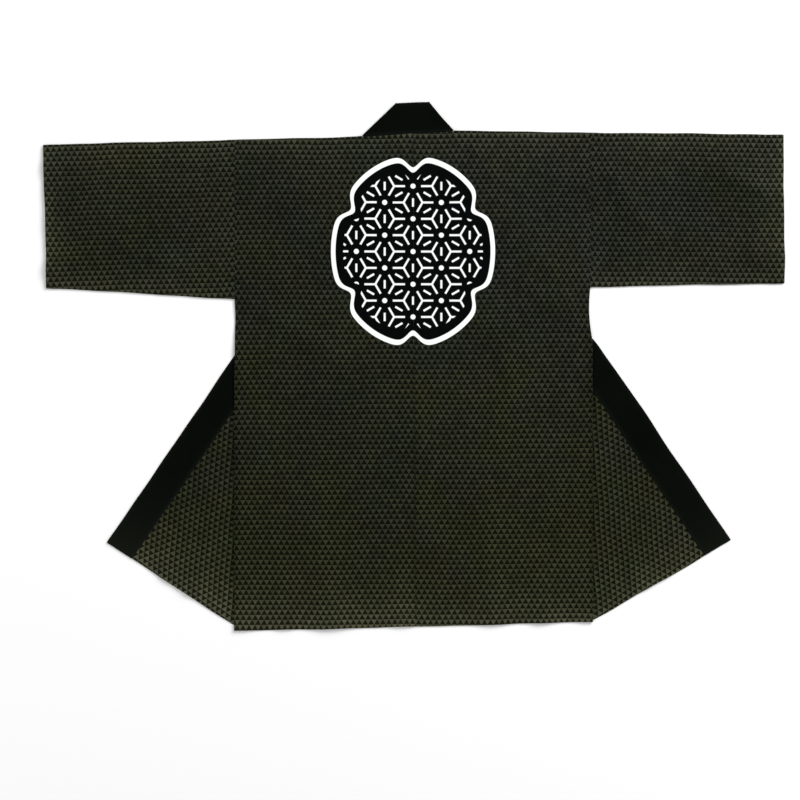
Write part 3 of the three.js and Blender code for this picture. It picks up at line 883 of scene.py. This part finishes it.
def makeSleeve(name):
    s = sleeve
    side = sides[name]
    roll = s["roll"]
    root = side["outward"] * s["rootGap"]
    topIn, topOut = side["shoulder"] + root, side["cuffTop"]
    lowIn, lowOut = side["armpit"] + root, side["cuffBottom"]
    top = makeLine(topIn, topOut, topIn + np.array([0, 1.0]))
    bottom = makeLine(lowIn, lowOut, lowIn - np.array([0, 1.0]))
    cuff = makeLine(topOut, lowOut, topIn)
    rootLine = makeLine(topIn, lowIn, topOut)
    tuck = roll / 2 * bottom["normal"]
    lower = [topOut, lowOut, lowOut + tuck, lowIn + tuck, lowIn, topIn]
    outline = [topIn, lowIn, lowIn + tuck, lowOut + tuck, lowOut, topOut,
               *[turned(q, top, roll) for q in lower]]
    lines = [
        *rollLines(top, roll, s["rollSteps"]),
        *rollLines(bottom, roll / 2, s["seamSteps"]),
        *rollLines(turnedLine(bottom, top, roll), roll / 2, s["seamSteps"]),
        *hemLines(cuff, s),
        *hemLines(turnedLine(cuff, top, roll), s),
    ]
    flat, faces = cutCloth(outline, garment["cell"], lines)

    def puff(p):
        fromTop, fromBottom = -away(top, p), -away(bottom, p)
        across = np.clip(fromTop / (fromTop + fromBottom), 0, 1)
        fromCuff = away(cuff, p)
        along = 1 - fallOff(away(rootLine, p), 0.0, s["puffFromRoot"])
        atCuff = 1 - (1 - s["puffAtCuff"]) * fallOff(fromCuff, 0.0, s["puffFromRoot"])
        hemRoom = s["hemRise"] * fallOff(fromCuff, s["hemWidth"] + s["hemRoom"], s["hemRoomStep"])
        return s["puff"] * (4 * across * (1 - across)) ** s["puffShape"] * along * atCuff + hemRoom * along

    layers = [
        {"up": 1.0, "folds": [
            {"line": top, "roll": roll, "to": 1, "whole": True},
            {"line": bottom, "roll": roll, "to": 1, "whole": False},
        ], "height": lambda p: garment["clothStep"] + puff(p) + lift(p, liftShare["upper"])},
        {"up": -1.0, "folds": [{"line": bottom, "roll": roll, "to": 0, "whole": False}],
         "height": lambda p: lift(p, liftShare["lower"])},
    ]
    laid = layCloth(flat, layers, s["wall"])
    plan = laid["plan"]
    rise = s["hemRise"] * fallOff(away(cuff, plan), s["hemWidth"], s["hemStep"]) * ~laid["rolling"]
    half = thickerBy(rise, laid, s["wall"])
    wear = np.max([laid["rolling"] * s["foldRubbed"], nearLine(cuff, plan, *s["cuffRubbed"]),
                   nearLine(top, plan, *s["topRubbed"])], axis=0)
    fadeAndPaintedShade = np.max([nearLine(line, plan, *s[key]) for key, line in (
        ("topFaded", top), ("bottomFaded", bottom), ("cuffFaded", cuff))], axis=0) + s["shade"][name]
    attributes = {"backLayer": np.zeros(len(flat)), "wear": wear, "fadeAndPaintedShade": fadeAndPaintedShade}
    lean = math.atan2(top["direction"][1] * side["outward"][0], top["direction"][0] * side["outward"][0])
    uv = grainUv(flat, lean, s["printShift"][name], topIn)
    piece = thicken(f"cloth_sleeve_{name}", flat, faces, laid, half, s["rimSteps"], attributes, uv)
    piece.data.materials.append(printedCotton)

    def cuffTopZ(p):
        return layers[0]["height"](p) + s["wall"] + s["hemRise"]

    return piece, *sheetSize(outline), cuff, cuffTopZ


print("sleeves")
sleeves = {name: makeSleeve(name) for name in sides}


# The collar: one black strip folded in four, mitred at both ends of the neck and folded out with the fronts
collar = {
    "wall": 0.0019, "roll": 0.0038, "rollSteps": 8, "rimSteps": 6,
    "inset": 0.0009, "seamGap": 0.0014, "mitreRoll": 0.0022, "foldRubbed": 0.6, "edgeRubbed": 0.0025,
    "endFaded": {"left": 0.64, "right": 0.40}, "endFadedReach": 0.060,  # paler towards its two ends
}


def makeCollar():
    c = collar
    roll = c["roll"]
    neckGap = c["seamGap"] - body["seamGap"] / 2
    chains, lines = {}, []
    for name, side in sides.items():
        fold, neckTop = side["fold"], side["neckTop"]
        over = roll * fold["normal"]
        free = shifted(side["freeEdge"], c["inset"])
        sewn = shifted(side["sewnEdge"], -c["seamGap"])
        foldTop, seamTurn = meet(fold, free), meet(fold, sewn)
        neckPoint = side["neckBase"] - side["outward"] * c["mitreRoll"] - neckLine["normal"] * neckGap
        mitre = makeLine(neckTop, neckPoint, neckTop + side["outward"])
        hemFree, hemSewn = (mirrored(meet(line, side["frontHem"]), fold) for line in (free, sewn))
        strip = [neckTop, foldTop, foldTop + over, turned(hemFree, fold, roll), turned(hemSewn, fold, roll),
                 seamTurn + over, seamTurn, neckPoint]
        chains[name] = {
            "neckTop": neckTop, "neckPoint": neckPoint, "mitre": mitre, "fold": fold,
            "strip": [turned(q, mitre, roll) for q in strip],
        }
        lines += rollLines(mitre, roll, c["rollSteps"])
        lines += rollLines(turnedLine(fold, mitre, roll), roll, c["rollSteps"])
    left, right = chains["left"], chains["right"]
    outline = [left["neckTop"], *left["strip"], left["neckPoint"],
               right["neckPoint"], *reversed(right["strip"]), right["neckTop"]]
    flat, faces = cutCloth(outline, garment["cell"], lines)
    step = garment["collarStep"]
    heights = {
        "neck": lambda p: 2 * step + lift(p, liftShare["back"]),
        "standing": lambda p: step + lift(p, liftShare["front"]),
        "band": lambda p: np.where(p[:, 0] < 0, flapLift(sides["left"], p), flapLift(sides["right"], p)),
    }
    layers = [
        {"up": 1.0, "height": heights["neck"], "folds": [
            {"line": left["mitre"], "roll": roll, "to": 1, "whole": True},
            {"line": right["mitre"], "roll": roll, "to": 2, "whole": True},
        ]},
        *[{"up": -1.0, "height": heights["standing"], "folds": [
            {"line": chain["fold"], "roll": roll, "to": 3, "whole": True}]} for chain in (left, right)],
        {"up": 1.0, "height": heights["band"], "folds": []},
    ]
    laid = layCloth(flat, layers, c["wall"])
    half = np.full(len(flat), c["wall"] / 2)
    edges = np.array(outline)
    toEdge = np.min([fromSegment(flat, a, b) for a, b in zip(edges, np.roll(edges, -1, axis=0))], axis=0)
    wear = np.maximum(laid["rolling"] * c["foldRubbed"], np.exp(-toEdge / c["edgeRubbed"]))
    fadeAndPaintedShade = np.zeros(len(flat))
    for name, side in sides.items():
        onBand = (laid["layer"] == 3) & (laid["plan"] @ side["outward"] >= 0)
        fadeAndPaintedShade += onBand * nearLine(side["flapHem"], laid["plan"], c["endFaded"][name], c["endFadedReach"])
    piece = thicken("cloth_collar", flat, faces, laid, half, c["rimSteps"],
                    {"wear": wear, "fadeAndPaintedShade": fadeAndPaintedShade, "backLayer": np.zeros(len(flat))}, flat)
    piece.data.materials.append(blackCotton)
    area = sheetSize(outline)[1]
    return piece, (collarWidth, area / collarWidth), area


print("collar")
collarPiece, collarFlat, collarArea = makeCollar()


# Machine stitches, set along the paths of the seams
stitch = {
    "pitch": 0.0042, "length": 0.0029, "thickness": 0.00042, "shortest": 0.86, "longest": 1.08, "seed": 7,
    "sink": 0.35, "sides": 6, "rings": 4, "pathStep": 0.004,
}


def stitchTree(material):
    tree = bpy.data.node_groups.new("stitchRow", "GeometryNodeTree")
    face = tree.interface
    face.new_socket("Path", in_out="INPUT", socket_type="NodeSocketGeometry")
    for key in ("Pitch", "Length", "Thickness"):
        face.new_socket(key, in_out="INPUT", socket_type="NodeSocketFloat")
    face.new_socket("Seed", in_out="INPUT", socket_type="NodeSocketInt")
    face.new_socket("Stitches", in_out="OUTPUT", socket_type="NodeSocketGeometry")
    put = makeMaker(tree)[0]
    given = put("NodeGroupInput").outputs
    length, thickness = given["Length"], given["Thickness"]
    curve = put("GeometryNodeMeshToCurve", {"Mesh": given["Path"]}).outputs[0]
    spaced = put("GeometryNodeResampleCurve", {"Curve": curve, "Length": given["Pitch"]}, mode="LENGTH")
    ball = put("GeometryNodeMeshUVSphere", {
        "Segments": stitch["sides"], "Rings": stitch["rings"], "Radius": 0.5}).outputs["Mesh"]
    size = put("ShaderNodeCombineXYZ", {0: length, 1: thickness, 2: thickness}).outputs[0]
    grain = put("GeometryNodeTransform", {"Geometry": ball, "Scale": size}).outputs[0]
    along = put("GeometryNodeInputTangent").outputs[0]
    turn = put("FunctionNodeAlignRotationToVector", {"Vector": along}, axis="X").outputs[0]
    vary = put("FunctionNodeRandomValue", {
        2: stitch["shortest"], 3: stitch["longest"], "Seed": given["Seed"]}, data_type="FLOAT").outputs[1]
    placed = put("GeometryNodeInstanceOnPoints", {
        "Points": spaced.outputs[0], "Instance": grain, "Rotation": turn, "Scale": vary}).outputs[0]
    real = put("GeometryNodeRealizeInstances", {"Geometry": placed}).outputs[0]
    done = put("GeometryNodeSetMaterial", {"Geometry": real, "Material": material}).outputs[0]
    put("NodeGroupOutput", {"Stitches": done})
    return tree


def sewRows(name, rows, material):
    vertices, edges = [], []
    for row in rows:
        first = len(vertices)
        vertices += row
        edges += [(first + k, first + k + 1) for k in range(len(row) - 1)]
    path = bpy.data.meshes.new(f"{name}Path")
    path.from_pydata(vertices, edges, [])
    holder = addObject(f"{name}Path", path)
    tree = stitchTree(material)
    modifier = holder.modifiers.new("stitches", "NODES")
    modifier.node_group = tree
    values = {"Pitch": stitch["pitch"], "Length": stitch["length"], "Thickness": stitch["thickness"],
              "Seed": stitch["seed"]}
    for item in tree.interface.items_tree:
        if item.in_out == "INPUT" and item.name in values:
            modifier[item.identifier] = values[item.name]
    evaluated = holder.evaluated_get(bpy.context.evaluated_depsgraph_get())
    mesh = bpy.data.meshes.new_from_object(evaluated)
    mesh.name = name
    mesh.shade_smooth()
    piece = addObject(name, mesh)
    bpy.data.objects.remove(holder)
    bpy.data.meshes.remove(path)
    return piece


def rowOn(start, end, surface):
    count = max(2, int(np.hypot(*(end - start)) / stitch["pathStep"]))
    p = start + np.multiply.outer(np.linspace(0, 1, count), end - start)
    z = surface(p) + stitch["thickness"] * (0.5 - stitch["sink"])
    return [(float(x), float(y), float(h)) for (x, y), h in zip(p, z)]


hemStitch = {"fromEdge": 0.0100, "endGap": 0.0030, "collarGap": 0.0040, "seamGap": 0.0020}


def sewHems():
    h = hemStitch
    rows = []
    for name, side in sides.items():
        bottomEdge, flapHem, sideSeam = side["backHem"], side["flapHem"], side["seam"]
        cuff, cuffTopZ = sleeves[name][3:]

        def onBack(p):
            return backHeight(p) + lift(p, liftShare["back"]) + body["wall"] + body["hemRise"]

        def onFlap(p):
            clearOfBody = 1 - fallOff(away(sideSeam, p), 0.0, body["hemFade"])
            return flapLift(side, p) + body["wall"] + body["hemRise"] * clearOfBody

        inward = h["fromEdge"] * bottomEdge["normal"]
        gap = h["endGap"] * bottomEdge["direction"]
        rows.append(rowOn(centreHem + inward + gap, side["hem"] + inward - gap, onBack))
        start = side["flapTip"] + flapHem["direction"] * (collarWidth + h["collarGap"])
        start += h["fromEdge"] * flapHem["normal"]
        end = meet(shifted(flapHem, h["fromEdge"]), shifted(sideSeam, h["seamGap"]))
        rows.append(rowOn(start, end, onFlap))
        inward = h["fromEdge"] * cuff["normal"]
        gap = h["endGap"] * cuff["direction"]
        rows.append(rowOn(side["cuffTop"] + inward + gap, side["cuffBottom"] + inward - gap, cuffTopZ))
    return sewRows("hem_stitches", rows, clothThread)


collarStitch = {"fromSeam": 0.0030, "endGap": 0.0040, "seamGap": 0.0010}


def sewCollar():
    c = collarStitch
    rows = []
    top = collar["wall"]
    for side in sides.values():
        sewn = shifted(side["sewnEdge"], -c["fromSeam"])
        start = meet(side["fold"], sewn)
        end = mirrored(meet(sewn, side["frontHem"]), side["fold"])
        start = meet(makeLine(start, end, side["foldTop"]), shifted(side["seam"], c["seamGap"]))
        rows.append(rowOn(start, end, lambda p: flapLift(side, p) + top))
    inward = -neckLine["normal"] * c["fromSeam"]
    left, right = sides["left"]["neckBase"], sides["right"]["neckBase"]
    rows.append(rowOn(left + inward + (c["endGap"], 0), right + inward - (c["endGap"], 0),
                      lambda p: 2 * garment["collarStep"] + lift(p, liftShare["back"]) + top))
    return sewRows("collar_stitches", rows, collarThread)


print("stitches")
hemStitches = sewHems()
collarStitches = sewCollar()

print("settling")
for piece in [*(bodies[name][0] for name in sides), *(sleeves[name][0] for name in sides), collarPiece,
              hemStitches, collarStitches]:
    points = np.empty(3 * len(piece.data.vertices))
    piece.data.vertices.foreach_get("co", points)
    points = points.reshape(-1, 3)
    points[:, :2] += wander(points)
    piece.data.vertices.foreach_set("co", points.ravel())
    piece.data.update()

for name in sides:
    piece, flatSize, area = bodies[name]
    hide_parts(f"body_{name}")
    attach(piece, "root")
    piece, flatSize, area = sleeves[name][:3]
    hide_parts(f"sleeve_{name}")
    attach(piece, "root")
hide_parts("collar")
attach(collarPiece, "root")
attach(hemStitches, "root")
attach(collarStitches, "root")


print("floor and light")
studio = {
    "floorSize": 14.0, "floorDrop": 0.0004, "floorColour": (0.93, 0.93, 0.93, 1),
    "floorRoughness": 0.9, "floorSpecular": 0.1, "fill": 0.58,
    "keyPlace": (2.4, 2.5, 2.5), "keySize": 2.4, "keyPower": 170.0,
    "sidePlace": (-2.6, -0.8, 2.0), "sideSize": 1.6, "sidePower": 18.0,
}


def makeStudio():
    s = studio
    half = s["floorSize"] / 2
    mesh = bpy.data.meshes.new("floor")
    corners = [(-half, -half), (half, -half), (half, half), (-half, half)]
    mesh.from_pydata([(x, y, -s["floorDrop"]) for x, y in corners], [], [(0, 1, 2, 3)])
    floor = addObject("floor", mesh)
    material, put, *_ = newMaterial("paleFloor")
    shader = put("ShaderNodeBsdfPrincipled", {
        "Base Color": s["floorColour"], "Roughness": s["floorRoughness"],
        "Specular IOR Level": s["floorSpecular"]})
    put("ShaderNodeOutputMaterial", {"Surface": shader.outputs[0]})
    mesh.materials.append(material)
    world = bpy.data.worlds.new("studioWorld")
    world.use_nodes = True
    background = world.node_tree.nodes["Background"]
    background.inputs[0].default_value = (1, 1, 1, 1)
    background.inputs[1].default_value = s["fill"]
    bpy.context.scene.world = world
    for name in ("key", "side"):
        data = bpy.data.lights.new(f"{name}Light", "AREA")
        data.size = s[f"{name}Size"]
        data.energy = s[f"{name}Power"]
        lamp = addObject(f"{name}Light", data)
        place = np.array(s[f"{name}Place"])
        lamp.location = place
        toMiddle = -place / np.linalg.norm(place)
        lamp.rotation_euler = (math.acos(-toMiddle[2]), 0, math.atan2(toMiddle[0], -toMiddle[1]) + math.pi)
    bpy.context.scene.view_settings.view_transform = "Standard"


makeStudio()
